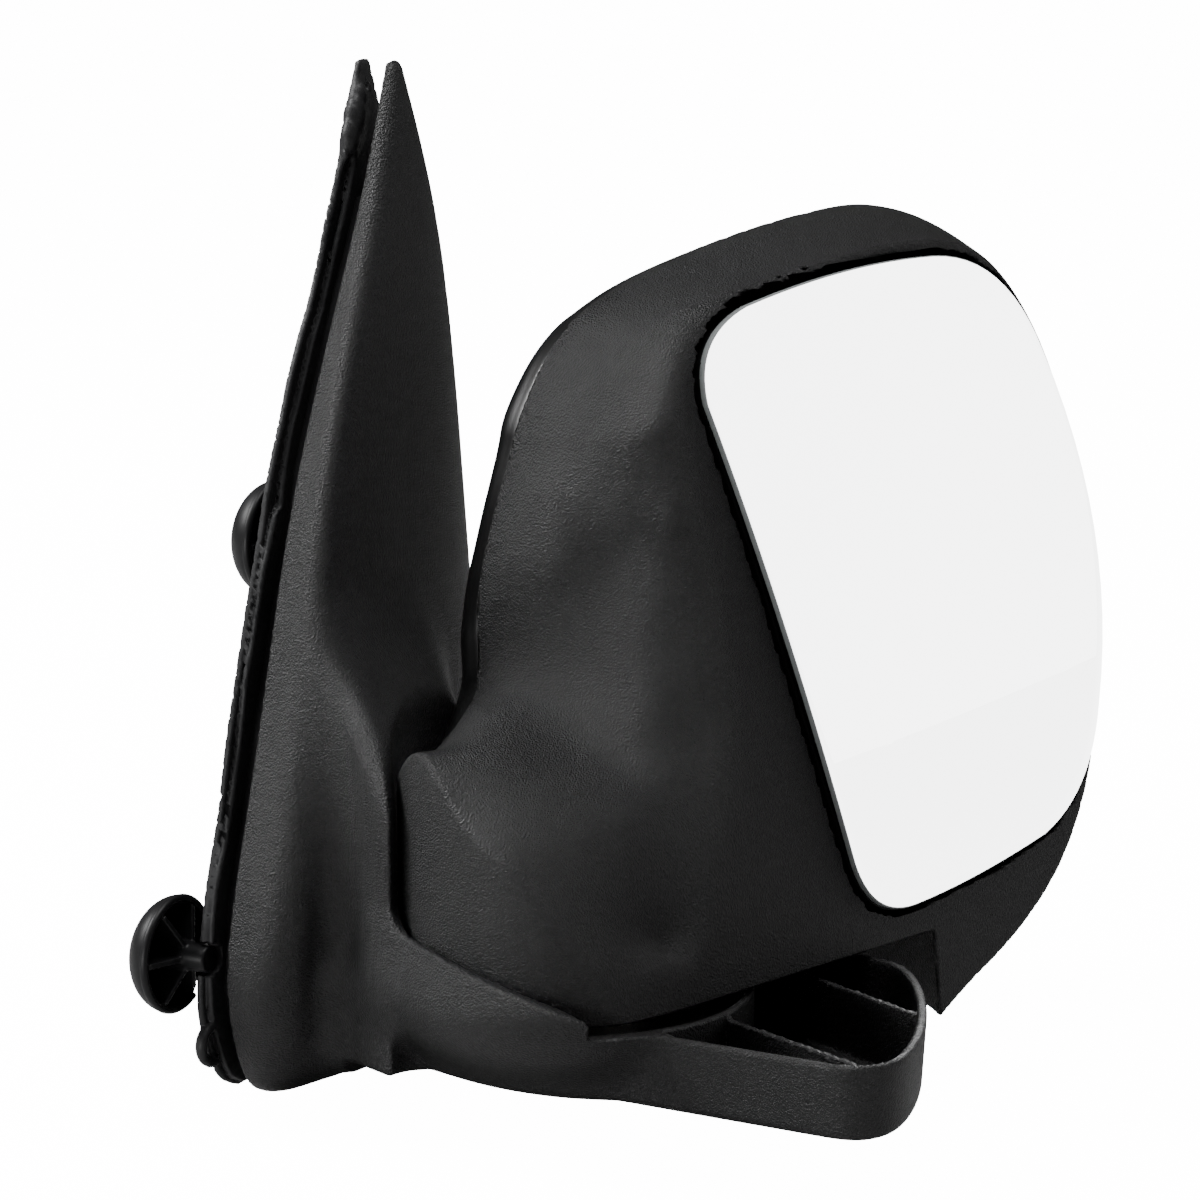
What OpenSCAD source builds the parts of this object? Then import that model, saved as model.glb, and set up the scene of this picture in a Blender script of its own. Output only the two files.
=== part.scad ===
/* [Door foot] */
// Height of the sail's tip above the lower locating plug
sail_top = 279; // [265:1:290]
// Thickness of the foam gasket
gasket_t = 4; // [3:0.5:5]
// Distance of the cover's inboard edge from the door face
cover_x = 12; // [11:0.5:14]
// Wall thickness of the foot cover
foot_wall = 3; // [2.5:0.5:4]
// Height of the foot's underside
foot_floor = -34; // [-38:1:-32]
// Height of the arm's open rim
arm_rim = -7.6; // [-9:0.1:-7.4]
// Number of stiffening ribs in the arm's open end
rib_count = 2; // [1:1:3]

/* [Fold pivot] */
// Outboard position of the fold axis
pivot_x = 105; // [103:1:110]
// Forward position of the fold axis
pivot_y = 55; // [52:1:58]
// Angle of the head forward of its driving position
fold_angle = 75; // [75:1:75]
// Radius of the head's knuckle
knuckle_r = 55; // [52:0.5:55]
// Radius of the pivot post
post_r = 13; // [11:0.5:14]
// Running clearance on the pivot post
post_gap = 0.05; // [0.02:0.01:0.1]
// Travel of the head over its detents
detent_lift = 1.5; // [1:0.1:1.5]

/* [Mirror head] */
// Wall thickness of the head's shells
head_wall = 3; // [2.5:0.5:3.5]
// Lean of the glass plane from vertical
glass_lean = 11; // [9:0.5:12]
// Distance of the glass plane behind the fold axis at height zero
glass_back = 50; // [48:0.5:51]
// Height of the head's underside over the arm
head_floor = -5.4; // [-5.6:0.1:-4]
// Depth plane where the bezel meets the back shell
part_plane = 38; // [34:1:42]
// Radius swept clear over the arm by the head's outboard lobe
sweep_r = 134; // [132:1:138]

/* [Mirror glass] */
// Thickness of the glass
glass_t = 2; // [1.8:0.1:2.5]
// Gap between the glass holder and the bezel
glass_gap = 3; // [2.5:0.25:4]
// Radius of curvature of the convex glass
glass_curve_r = 1400; // [1200:50:1800]
// Distance of the glass pivot behind the glass plane
glass_pivot_depth = 16; // [15:0.5:17]

/* [Fasteners] */
// Radius of the mounting studs
stud_r = 3; // [2.5:0.5:4]
// Length of each stud beyond the door face
stud_len = 22; // [18:1:25]
// Radius of the small self-tapping screws
screw_r = 2; // [1.5:0.25:2.25]

/* [Hidden] */
$fn = 64;
black = "#161616";
eps = 0.01;

// Foot tables: height against the rear and forward edges and the outboard reach of the sail
sail_bottom = -48;
sail_rear = [[sail_bottom, 18], [-44, 10], [-36, 4], [-11, -3], [15, 0], [67, 16], [150, 42], [235, 82],
    [sail_top, 99]];
sail_front = [[sail_bottom, 105], [-40, 119], [-30, 125], [60, 128], [140, 127], [225, 121],
    [sail_top, 105]];
sail_reach = [[sail_bottom, 32], [-36, 40], [0, 42], [60, 40], [140, 31], [225, 22], [sail_top, 15.5]];
sail_heights = [sail_bottom, -44, -36, -24, -11, 2, 15, 40, 67, 95, 122, 150, 180, 208, 235, 260, sail_top];
hollow_top = 230;
gasket_margin = 3;
plate_margin = 9;
plate_x = gasket_t;
plate_t = cover_x - gasket_t - 0.5;
plate_back = plate_x + plate_t;
screw_head_r = screw_r * 1.9;
screw_head_t = 2;
boss_r = 4.5;
stud_neck = 1;
shank_r = stud_r + 0.5;
stud_spots = [[60, -24], [108, -24], [104, 150]];
screw_spots = [[24, -6], [108, 40], [62, 120], [96, 214]];
lower_plug = [0, 0];
upper_plug = [63, 125];
plug_rim_r = 19.3;
plug_depth = 22;
plug_rim_x = -9;
plug_wall = 2;
plug_hub_r = 4.5;
arm_near = 20;
arm_far = 130;
arm_end = 232;
deck_z = -12;
deck_t = 4;
pocket_r = knuckle_r + 1;
socket_r = pocket_r + 4;
socket_top = 62;
post_flange_r = 26;
post_screw_at = 20;
tower_near = 10;
tower_far = 76;
tower_reach = 44;
lip_top = 16;
lip_edge = knuckle_r - 4;

// Pivot stack heights
ring_t = 4;
ring_in = post_r + 2;
ring_out = 27;
notch_depth = 2;
tooth_w = 6;
notch_w = 8;
fixed_top = deck_z + ring_t;
tooth_bottom = fixed_top + 0.1;
moving_bottom = tooth_bottom + detent_lift;
moving_top = moving_bottom + 3;
hub_r = 20;
flange_r = 44.5;
flange_t = 5;
flange_screw_at = 41;
flange_screw_turn = 45;
spine_y = -9;
spine_t = 8;
spine_h = 46;
hub_top = 30;
seat_t = 2;
spring_coils = 4;
spring_wire = 1.7;
spring_r = 18;
spring_top = 54;
retainer_t = 3;
retainer_r = 21;

// Glass frame: x runs outboard, y up the glass and z out of it, from the fold axis at height zero
glass_centre = [140, 110];
glass_top = 5;
tray_floor = -4;
ball_r = 8;
gimbal_r = 17;
trunnion_r = 2.5;
plate_deep = 36;
plate_half = 56;

// Head tables against height: rear corner, crease and front corner of the inboard side
head_rear_u = [[head_floor, -20], [12, -6], [33, 10], [57, 19], [80, 24], [110, 25], [140, 22], [176, 17],
    [192, 22]];
head_crease_u = [[head_floor, -28], [12, -36], [33, -46], [57, -53.6], [74, -52.5], [90, -30], [105, -3],
    [131, 14], [165, 20], [192, 26]];
head_crease_d = [[head_floor, -46.5], [12, -40.8], [33, -29], [57, -6], [74, 14], [90, 24], [105, 20],
    [131, 11], [192, 14]];
head_front_u = [[head_floor, -39], [57, -39], [74, -28], [90, -14], [105, -5], [131, 2], [165, 14],
    [192, 33]];
// Outboard reach of the rear rim against height, and the head's top edge at the rear and over its crown
head_out = [[0, 203], [20, 219.5], [50, 229], [90, 233], [125, 230.5], [155, 224], [180, 214], [200, 203]];
head_out_rise = 5;
head_top_rear = [[30, 203], [52, 209], [90, 215.5], [130, 219], [168, 219.5], [190, 214], [204, 203]];
head_top_rise = 5;
head_levels = [head_floor, 12, 33, 57, 74, 90, 105, 131, 165, 192];
out_levels = [190, 165, 130, 95, 60, 28, 2];
// Lower outboard lobe over the arm: its points at the rear rim and where it is fullest
lobe_rear = [[174, -20], [159, -29], [145, -30]];
lobe_full = [[192, -20], [172, -34], [154, -34]];
lobe_edge = -30;
depth_steps = [0, 0.2, 0.42, 0.62, 0.82, 1];

function plane_d(v) = v * tan(glass_lean) - glass_back;
function mix(a, b, t) = a + (b - a) * t;
function unit(v) = v / norm(v);
// Quadratic curve from a to c, bent towards b, without its last point
function bend(a, b, c, n) = [for (i = [0:n - 1]) mix(mix(a, b, i / n), mix(b, c, i / n), i / n)];
// Points of a closed ring moved inwards by w, for a ring that runs anticlockwise
function inset(ring, w) = [
    for (i = [0:len(ring) - 1])
        let (
            n = len(ring),
            along = unit(ring[(i + 1) % n] - ring[(i + n - 1) % n])
        )
        ring[i] + w * [-along[1], along[0]]
];
function middle(ring) = [for (p = ring) 1 / len(ring)] * ring;
function lift(ring, h) = [for (p = ring) [p[0], p[1], h]];
// Distance of the knuckle's surface from the fold axis, across the head, at a depth
function knuckle_u(d) = sqrt(max(0, pow(knuckle_r - 0.3, 2) - d * d));

// Horizontal section of the sail drawn in by w, anticlockwise from above, from its rear edge at the door
function sail_section(h, edge_x, w) =
    let (
        r = lookup(h, sail_rear) + w,
        f = lookup(h, sail_front) - w,
        o = lookup(h, sail_reach) - w,
        edge = min(9, (f - r) * 0.3)
    )
    concat(
        bend([edge_x, r], [edge_x + (o - edge_x) * 0.5, r - 0.5], [mix(edge_x, o, 0.72), r + edge], 4),
        bend([mix(edge_x, o, 0.72), r + edge], [o, mix(r, f, 0.3)], [o, mix(r, f, 0.62)], 4),
        bend([o, mix(r, f, 0.62)], [o, f - edge * 0.5], [mix(edge_x, o, 0.5), f], 5),
        bend([mix(edge_x, o, 0.5), f], [edge_x + 1, f + 0.2], [edge_x, f], 2),
        [[edge_x, f], [edge_x, mix(r, f, 0.67)], [edge_x, mix(r, f, 0.33)]]
    );

// Outline of the foot against the door, in the door plane, drawn in from the sail's edge by w
function door_outline(w) =
    let (hs = [for (h = sail_heights) if (h < sail_top - 3.5 * w) max(h, sail_bottom + w)])
    concat(
        [for (h = hs) [lookup(h, sail_front) - w, h]],
        [for (i = [len(hs) - 1:-1:0]) [lookup(hs[i], sail_rear) + w, hs[i]]]
    );

// Plan of the arm: near edge, rounded outboard end, far edge
arm_plan = concat(
    [[34, arm_near]],
    bend([arm_end - 20, arm_near], [arm_end + 1, arm_near + 1], [arm_end - 2, arm_near + 28], 8),
    bend([arm_end - 2, arm_near + 28], [arm_end - 16, arm_far - 14], [arm_end - 58, arm_far], 8),
    [[arm_end - 58, arm_far], [34, arm_far]]
);

// Outline of the glass, clockwise seen from behind, from the lower inboard corner up, n points to a side
function pane_outline(n) = concat(
    bend([112, 5], [89, 3], [83, 24], n[0]),
    bend([83, 24], [62, 116], [44, 180], n[1]),
    bend([44, 180], [43, 202], [68, 208], n[2]),
    bend([68, 208], [124, 215.5], [164, 213.5], n[3]),
    bend([164, 213.5], [195, 211], [207, 178], n[4]),
    bend([207, 178], [230, 112], [216.5, 54], n[5]),
    bend([216.5, 54], [210, 24], [180, 15], n[6]),
    bend([180, 15], [142, 7], [112, 5], n[7])
);
pane = pane_outline([8, 12, 6, 8, 6, 8, 8, 8]);
// The opening has a point for each point round the head, beside it
opening = pane_outline([4, 5, 3, 3, 3, 4, 5, 5]);

// Inboard side of the head at a height and depth: dish and chin behind the crease, knuckle ahead of it
function inboard_u(v, d) =
    let (
        cu = lookup(v, head_crease_u),
        cd = lookup(v, head_crease_d),
        round_u = -sqrt(knuckle_r * knuckle_r - d * d) + 0.3,
        front_u = lookup(v, head_front_u),
        ahead = v < 75 ? max(round_u, front_u - 30) : mix(cu, front_u, (d - cd) / (part_plane - cd))
    )
    d < cd ? mix(lookup(v, head_rear_u), cu, (d - plane_d(v)) / (cd - plane_d(v))) : ahead;

// One ring round the head at a fraction of the depth from the glass plane to the parting plane
function head_ring(t) =
    let (swell = sin(90 * min(1, t * 2.2)))
    concat(
        [for (v = head_levels) let (d = mix(plane_d(v), part_plane, t)) [inboard_u(v, d), v, d]],
        [for (p = head_top_rear)
            [p[0], p[1] + head_top_rise * swell, mix(plane_d(p[1]), part_plane, t)]],
        [for (v = out_levels)
            [lookup(v, head_out) + head_out_rise * swell, v, mix(plane_d(v), part_plane, t)]],
        [for (i = [0:2])
            let (p = mix(lobe_rear[i], lobe_full[i], swell))
            [p[0], p[1], mix(-glass_back + 4 * (1 - t), part_plane - 4, t)]],
        let (d = mix(-glass_back, part_plane, t), u = sqrt(sweep_r * sweep_r - d * d) + 0.5)
        concat([[u + 3, lobe_edge, d]], [for (k = [1, 0.72, 0.42, 0.12]) [u * k, head_floor, d]])
    );

// A ring drawn in by w across its depth direction, and moved along it by dd
function ring_in(ring, w, dd) =
    let (flat = inset([for (p = ring) [p[0], p[1]]], -w))
    [for (i = [0:len(ring) - 1]) [flat[i][0], flat[i][1], ring[i][2] + dd]];

// A ring round the glass opening, at a depth ahead of the glass plane
function opening_ring(depth) = [
    for (p = inset(opening, glass_gap))
        [
            p[0],
            p[1] * cos(glass_lean) - depth * sin(glass_lean),
            p[1] * sin(glass_lean) + depth * cos(glass_lean) - glass_back
        ]
];

// A ring of the front cover, shrunk towards its middle and pushed forward by dd
function front_ring(scale, dd) =
    let (ring = head_ring(1), c = [110, 100])
    [
        for (p = ring)
            let (d = part_plane + 0.2 + dd)
            [max(mix(c[0], p[0], scale), -knuckle_u(d)), mix(c[1], p[1], scale), d]
    ];

// Closed skin over a stack of rings that each have the same number of points, from the lowest up
module loft(rings) {
    n = len(rings[0]);
    m = len(rings);
    sides = [
        for (j = [0:m - 2], i = [0:n - 1], half = [0, 1])
            half == 0
                ? [j * n + i, (j + 1) * n + (i + 1) % n, j * n + (i + 1) % n]
                : [j * n + i, (j + 1) * n + i, (j + 1) * n + (i + 1) % n]
    ];
    low = [for (i = [0:n - 1]) [m * n, i, (i + 1) % n]];
    high = [for (i = [0:n - 1]) [m * n + 1, (m - 1) * n + (i + 1) % n, (m - 1) * n + i]];
    points = concat([for (ring = rings) each ring], [middle(rings[0]), middle(rings[m - 1])]);
    polyhedron(points, concat(low, sides, high));
}

// Closed ring-shaped skin: rings in order round the wall's own section, the last joined to the first
module ring_shell(rings) {
    n = len(rings[0]);
    m = len(rings);
    faces = [
        for (j = [0:m - 1], i = [0:n - 1], half = [0, 1])
            let (a = j * n, b = (j + 1) % m * n, k = (i + 1) % n)
            half == 0 ? [a + i, b + k, a + k] : [a + i, b + i, b + k]
    ];
    rotate([90, 0, 0]) mirror([0, 0, 1]) polyhedron([for (ring = rings) each ring], faces);
}

// Closed bowl-shaped skin: rings from the outer middle out to the rim and back to the inner middle
module bowl_shell(rings) {
    n = len(rings[0]);
    m = len(rings);
    faces = [
        for (j = [0:m - 2], i = [0:n - 1], half = [0, 1])
            let (a = j * n, b = (j + 1) * n, k = (i + 1) % n)
            half == 0 ? [a + i, b + k, a + k] : [a + i, b + i, b + k]
    ];
    start = [for (i = [0:n - 1]) [m * n, i, (i + 1) % n]];
    end = [for (i = [0:n - 1]) [m * n + 1, (m - 1) * n + (i + 1) % n, (m - 1) * n + i]];
    points = concat([for (ring = rings) each ring], [middle(rings[0]), middle(rings[m - 1])]);
    rotate([90, 0, 0]) mirror([0, 0, 1]) polyhedron(points, concat(start, faces, end));
}

// Places door-plane drawings: x of the drawing runs forward, y up and the extrusion outboard
module on_door(x) {
    translate([x, 0, 0]) rotate([90, 0, 90]) children();
}

module at_pivot() {
    translate([pivot_x, pivot_y, 0]) children();
}

// Places children drawn in the head's driving position at its folded angle
module in_head() {
    at_pivot() rotate([0, 0, fold_angle]) children();
}

module in_glass() {
    in_head() translate([0, -glass_back, 0]) rotate([90 - glass_lean, 0, 0]) children();
}

module at_ball() {
    in_glass() translate([glass_centre[0], glass_centre[1], -glass_pivot_depth]) children();
}

// Ring with a square section
module ring(r_in, r_out, z0, z1) {
    translate([0, 0, z0]) difference() {
        cylinder(r = r_out, h = z1 - z0);
        translate([0, 0, -1]) cylinder(r = r_in, h = z1 - z0 + 2);
    }
}

// Pan-head screw pointing down from its head's seat at the origin
module screw(length) {
    cylinder(r = screw_head_r, h = screw_head_t);
    translate([0, 0, -length]) cylinder(r = screw_r, h = length + eps);
}

// Soft two-layer pad between the foot and the door skin
module door_gasket() {
    color("#1c1c1c") difference() {
        on_door(0) linear_extrude(gasket_t) polygon(door_outline(gasket_margin));
        for (p = stud_spots) on_door(-1) translate(p) cylinder(r = shank_r + 0.3, h = gasket_t + 2);
        for (p = [lower_plug, upper_plug]) on_door(-1) translate(p)
            cylinder(r = 2 * plug_hub_r, h = gasket_t + 2);
    }
}

// Rigid plate that carries the studs and closes the cover's back
module base_plate() {
    color("#2a2a2a") difference() {
        on_door(plate_x) linear_extrude(plate_t) polygon(door_outline(plate_margin));
        for (p = stud_spots) on_door(plate_x - 1) translate(p) cylinder(r = shank_r, h = plate_t + 2);
        for (p = screw_spots) on_door(plate_x - 1) translate(p) cylinder(r = screw_r + 0.2, h = plate_t + 2);
        for (p = screw_spots) on_door(plate_x - eps) translate(p)
            cylinder(r = screw_head_r + 0.3, h = screw_head_t + 0.2);
    }
}

// Screws from the door side through the plate into the cover's bosses
module plate_screws() {
    color("silver") for (p = screw_spots) {
        on_door(plate_x + screw_head_t + 0.1) translate(p) rotate([180, 0, 0]) screw(12);
    }
}

// Threaded studs with a flange behind the plate, standing out through the gasket
module mounting_studs() {
    color("silver") for (p = stud_spots) {
        on_door(-stud_len) translate(p) cylinder(r = stud_r, h = stud_len - stud_neck);
        on_door(-stud_neck - eps) translate(p) cylinder(r = stud_r - 0.5, h = stud_neck + 2 * eps);
        on_door(0) translate(p) cylinder(r = shank_r, h = plate_back);
        on_door(plate_back) translate(p) cylinder(r = stud_r * 2, h = 3);
    }
}

// Mushroom plug: domed shell on a hub with radial ribs, its open side towards the foot
module locating_plug(spot) {
    dome = plug_depth + plug_rim_x;
    on_door(0) translate(spot) {
        rotate_extrude() polygon(concat(
            [[0, -plug_depth]],
            [for (a = [75:-15:0]) [plug_rim_r * cos(a), plug_rim_x - dome * sin(a)]],
            [for (a = [0:15:75])
                [(plug_rim_r - plug_wall) * cos(a), plug_rim_x - (dome - plug_wall) * sin(a)]],
            [[plug_hub_r, -plug_depth + 2.3], [plug_hub_r, plate_x - 0.05], [0, plate_x - 0.05]]
        ));
        for (a = [0:60:300]) rotate([0, 0, a]) translate([4, -0.9, -plug_depth + 3.5])
            rotate([90, 0, 0]) mirror([0, 0, 1])
                linear_extrude(1.8) polygon([[0, 0], [8, 0.5], [12.2, 6], [12.6, 11], [0, 15]]);
    }
}

module lower_locating_plug() {
    color(black) locating_plug(lower_plug);
}

module upper_locating_plug() {
    color(black) locating_plug(upper_plug);
}

// Solid sail, and the same sail drawn in by the wall for its hollow
module sail_solid() {
    loft([for (h = sail_heights) lift(sail_section(h, cover_x, 0), h)]);
}

module sail_hollow() {
    inner = [for (h = sail_heights) if (h > sail_bottom && h < hollow_top) h];
    loft([for (h = inner) lift(sail_section(h, cover_x - 2, foot_wall), h)]);
}

// Lip of the knuckle's pocket, falling from the tower to the arm's rim
module socket_lip() {
    at_pivot() difference() {
        translate([0, 0, deck_z - deck_t]) cylinder(r = socket_r, h = lip_top - deck_z + deck_t);
        translate([0, -lip_edge, lip_top * 0.6]) rotate([-16, 14, 0]) translate([-150, -150, 0])
            cube([300, 300, 100]);
        translate([-100, -lip_edge, arm_rim]) cube([240, 240, 60]);
    }
}

// Tower of the socket between the sail and the knuckle
module socket_tower() {
    tall = socket_top - foot_floor;
    intersection() {
        hull() {
            at_pivot() translate([0, 0, foot_floor]) cylinder(r = socket_r + 1.5, h = tall, $fn = 48);
            translate([cover_x + 5, tower_near - 4, foot_floor])
                cube([13, tower_far - tower_near, tall + 22]);
        }
        translate([cover_x + 8, tower_near, foot_floor]) cube([tower_reach, tower_far - tower_near, 200]);
    }
}

// Inside of the arm's walls drawn in by w, from the socket's wall outwards
module arm_room(w, from_z, from_r) {
    difference() {
        translate([0, 0, from_z]) linear_extrude(40) polygon(inset(arm_plan, w));
        at_pivot() cylinder(r = from_r, h = 300, center = true);
    }
}

// Upright ribs across the arm's open end
module arm_ribs() {
    for (i = [1:rib_count])
        translate([pivot_x + pocket_r, mix(arm_near - 22, arm_far + 32, i / (rib_count + 1)), foot_floor + 1])
            rotate([0, 0, -22]) translate([-4, -1.25, 0]) cube([90, 2.5, arm_rim - foot_floor - 3]);
}

// Foot cover: grained sail, knuckle socket and hollow ribbed arm in one moulding
module foot_cover() {
    color(black) difference() {
        union() {
            difference() {
                union() {
                    sail_solid();
                    translate([0, 0, foot_floor]) linear_extrude(arm_rim - foot_floor) polygon(arm_plan);
                    socket_tower();
                    socket_lip();
                }
                sail_hollow();
                arm_room(foot_wall, foot_floor + foot_wall, pocket_r + foot_wall);
                at_pivot() translate([0, 0, foot_floor - 1])
                    cylinder(r = post_flange_r + 4, h = deck_z - deck_t - foot_floor + 1);
            }
            intersection() {
                arm_ribs();
                arm_room(1, foot_floor, pocket_r + 1);
            }
            for (p = screw_spots) on_door(cover_x - 0.4) translate(p)
                cylinder(r = boss_r, h = 0.88 * lookup(p[1], sail_reach) - cover_x);
        }
        at_pivot() translate([0, 0, deck_z]) cylinder(r = pocket_r, h = 200);
        at_pivot() cylinder(r = post_r, h = 100, center = true);
        for (a = [0:120:240]) at_pivot() rotate([0, 0, a]) translate([post_screw_at, 0, -30])
            cylinder(r = screw_r, h = 40);
        for (p = screw_spots) on_door(cover_x - 1) translate(p) cylinder(r = screw_r, h = 8.2);
        for (p = stud_spots) on_door(cover_x - 1) translate(p) cylinder(r = stud_r * 2 + 0.5, h = 4.2);
    }
}

// Steel tube the head turns on, with its flange under the pocket's deck
module pivot_post() {
    color("silver") at_pivot() difference() {
        union() {
            translate([0, 0, deck_z - deck_t - 3]) cylinder(r = post_flange_r, h = 3);
            translate([0, 0, deck_z - deck_t - eps])
                cylinder(r = post_r, h = spring_top + retainer_t + 3 - deck_z + deck_t);
        }
        cylinder(r = post_r - 3, h = 200, center = true);
        for (a = [0:120:240]) rotate([0, 0, a]) translate([post_screw_at, 0, -30])
            cylinder(r = screw_r + 0.1, h = 16);
    }
}

// Screws that hold the post's flange, up through the deck into the fixed ring
module post_screws() {
    color("silver") for (a = [0:120:240]) {
        at_pivot() rotate([0, 0, a]) translate([post_screw_at, 0, deck_z - deck_t - 3])
            rotate([180, 0, 0]) screw(9);
    }
}

// Notched ring fixed on the pocket's deck: two detents for each of three teeth
module fixed_detent_ring() {
    color("silver") at_pivot() difference() {
        ring(ring_in, ring_out, deck_z, fixed_top);
        for (a = [0:120:240], detent = [0, -fold_angle]) rotate([0, 0, fold_angle + a + detent])
            translate([ring_in - 2, -notch_w / 2, fixed_top - notch_depth])
                cube([ring_out - ring_in + 4, notch_w, notch_depth + 1]);
        for (a = [0:120:240]) rotate([0, 0, a]) translate([post_screw_at, 0, deck_z - 1])
            cylinder(r = screw_r, h = 3);
    }
}

// Toothed ring pressed under the head's hub, drawn lifted just clear of the notches
module moving_detent_ring() {
    color("silver") in_head() {
        ring(ring_in, ring_out, moving_bottom, moving_top);
        for (a = [0:120:240]) rotate([0, 0, a]) translate([ring_in + 1, -tooth_w / 2, tooth_bottom])
            cube([ring_out - ring_in - 2, tooth_w, moving_bottom - tooth_bottom + 1]);
    }
}

// Coil spring around the post, pressing the head down on its detents
module pivot_spring() {
    steps = 16;
    low = hub_top + seat_t + spring_wire;
    high = spring_top - spring_wire;
    total = spring_coils * steps;
    color("dimgray") at_pivot() loft_path([
        for (i = [0:total])
            let (turn = 360 * i / steps, z = mix(low, high, i / total))
            [for (s = [0:45:315])
                let (r = spring_r + spring_wire * cos(s))
                [r * cos(turn), r * sin(turn), z + spring_wire * sin(s) * 0.97]]
    ]);
}

// Closed tube over a chain of rings with flat ends, for rings that advance anticlockwise
module loft_path(rings) {
    n = len(rings[0]);
    m = len(rings);
    sides = [
        for (j = [0:m - 2], i = [0:n - 1], half = [0, 1])
            half == 0
                ? [j * n + i, j * n + (i + 1) % n, (j + 1) * n + (i + 1) % n]
                : [j * n + i, (j + 1) * n + (i + 1) % n, (j + 1) * n + i]
    ];
    start = [[for (i = [n - 1:-1:0]) i]];
    end = [[for (i = [0:n - 1]) (m - 1) * n + i]];
    polyhedron([for (ring = rings) each ring], concat(start, sides, end));
}

// Push-on collar at the post's top that holds the spring
module spring_retainer() {
    color("gray") at_pivot() ring(post_r, retainer_r, spring_top, spring_top + retainer_t);
}

// Washer between the spring and the turning hub: it rises with the head but does not turn
module spring_seat() {
    color("gray") at_pivot() ring(post_r + post_gap, retainer_r, hub_top, hub_top + seat_t);
}

// Skeleton of the head: pivot hub, flange for the bezel, spine and glass mounting plate
module head_frame() {
    color("#303030") difference() {
        union() {
            in_head() {
                translate([0, 0, moving_top]) cylinder(r = hub_r, h = hub_top - moving_top);
                intersection() {
                    translate([0, 0, head_floor + head_wall]) cylinder(r = flange_r, h = flange_t);
                    translate([-flange_r, -flange_r, -10])
                        cube([2 * flange_r, flange_r + part_plane - 4, 20]);
                }
                translate([retainer_r + 3, spine_y, head_floor + head_wall]) cube([105, spine_t, spine_h]);
                translate([12, spine_y, head_floor + head_wall]) cube([20, spine_t, hub_top - 4]);
            }
            in_glass()
                translate([glass_centre[0] - plate_half, glass_centre[1] - plate_half - 14, -plate_deep - 4])
                    cube([2 * plate_half, 2 * plate_half + 14, 4]);
            for (s = [-1, 1]) at_ball() translate([0, s * (gimbal_r + 6), 0]) rotate([90, 0, 0]) {
                cylinder(r = 5, h = 3, center = true);
                translate([-5, -plate_deep + glass_pivot_depth - 1, -1.5])
                    cube([10, plate_deep - glass_pivot_depth, 3]);
            }
            at_ball() translate([0, 0, glass_pivot_depth - plate_deep - 1]) cylinder(r = 7, h = 6);
        }
        in_head() cylinder(r = post_r + post_gap, h = 200, center = true);
        in_head() at_flange_screws() translate([0, 0, -10]) cylinder(r = screw_r, h = 14);
        for (x = [-1, 1], y = [-1, 1]) at_shell_screw(x, y)
            cylinder(r = screw_r + 0.2, h = 30, center = true);
        at_ball() rotate([90, 0, 0]) trunnion_bore();
        at_ball() translate([0, 0, glass_pivot_depth - plate_deep - 6]) cylinder(r = 4, h = 20);
    }
}

module trunnion_bore() {
    cylinder(r = trunnion_r + post_gap, h = 2 * gimbal_r + 40, center = true);
}

module at_flange_screws() {
    for (a = [0:120:240]) rotate([0, 0, a + flange_screw_turn]) translate([flange_screw_at, 0, 0])
        children();
}

module at_shell_screw(x, y) {
    spot = glass_centre + (plate_half - 8) * [x, y];
    in_glass() translate([spot[0], spot[1], -plate_deep]) children();
}

// Ball on a stem, pressed into the frame, that the glass holder's socket grips
module frame_ball_stud() {
    color("silver") at_ball() {
        sphere(r = ball_r);
        translate([0, 0, glass_pivot_depth - plate_deep - 4])
            cylinder(r = 4, h = plate_deep - glass_pivot_depth);
    }
}

// Grained bezel: rear frame round the glass, dished inboard side, chin and knuckle
module head_bezel() {
    outer = [for (t = depth_steps) head_ring(t)];
    inner = [
        for (i = [len(depth_steps) - 1:-1:0])
            ring_in(head_ring(depth_steps[i]), head_wall, i == 0 ? head_wall : 0)
    ];
    color(black) in_head() difference() {
        ring_shell(concat([opening_ring(head_wall), opening_ring(0)], outer, inner));
        cylinder(r = 33, h = 20, center = true);
        at_flange_screws() translate([0, 0, -10]) cylinder(r = screw_r + 0.2, h = 14);
        at_flange_screws() translate([0, 0, head_floor - 1]) cylinder(r = screw_head_r + 0.2, h = 2.2);
    }
}

// Screws up through the bezel's floor into the frame's flange
module bezel_screws() {
    color("silver") in_head() at_flange_screws() translate([0, 0, head_floor + 1.2])
        rotate([180, 0, 0]) flush_screw(7);
}

module flush_screw(length) {
    cylinder(r = screw_head_r, h = 1.1);
    translate([0, 0, -length]) cylinder(r = screw_r, h = length + eps);
}

// Smooth front cover with bosses for the frame's plate
module head_back_shell() {
    outer = [for (p = [[0.25, 17], [0.6, 15.5], [0.85, 12], [0.96, 7], [1, 0]]) front_ring(p[0], p[1])];
    inner = [
        for (p = [[1, 0], [0.96, 5], [0.85, 9], [0.6, 12.4], [0.25, 14]])
            ring_in(front_ring(p[0], p[1]), head_wall * p[0], 0)
    ];
    color("#101010") difference() {
        union() {
            in_head() bowl_shell(concat(outer, inner));
            for (x = [-1, 1], y = [-1, 1]) at_shell_screw(x, y) translate([0, 0, -5.2])
                rotate([glass_lean, 0, 0]) translate([0, 0, -boss_length(y)])
                    cylinder(r = 5, h = boss_length(y));
        }
        for (x = [-1, 1], y = [-1, 1]) at_shell_screw(x, y) translate([0, 0, -18])
            cylinder(r = screw_r, h = 30);
    }
}

// Distance from the frame's plate to the front cover at the lower and upper screws
function boss_length(y) =
    let (v = (glass_centre[1] + y * (plate_half - 8)) * cos(glass_lean))
    part_plane + 13.5 - plane_d(v) - (plate_deep + 4) * cos(glass_lean);

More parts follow.
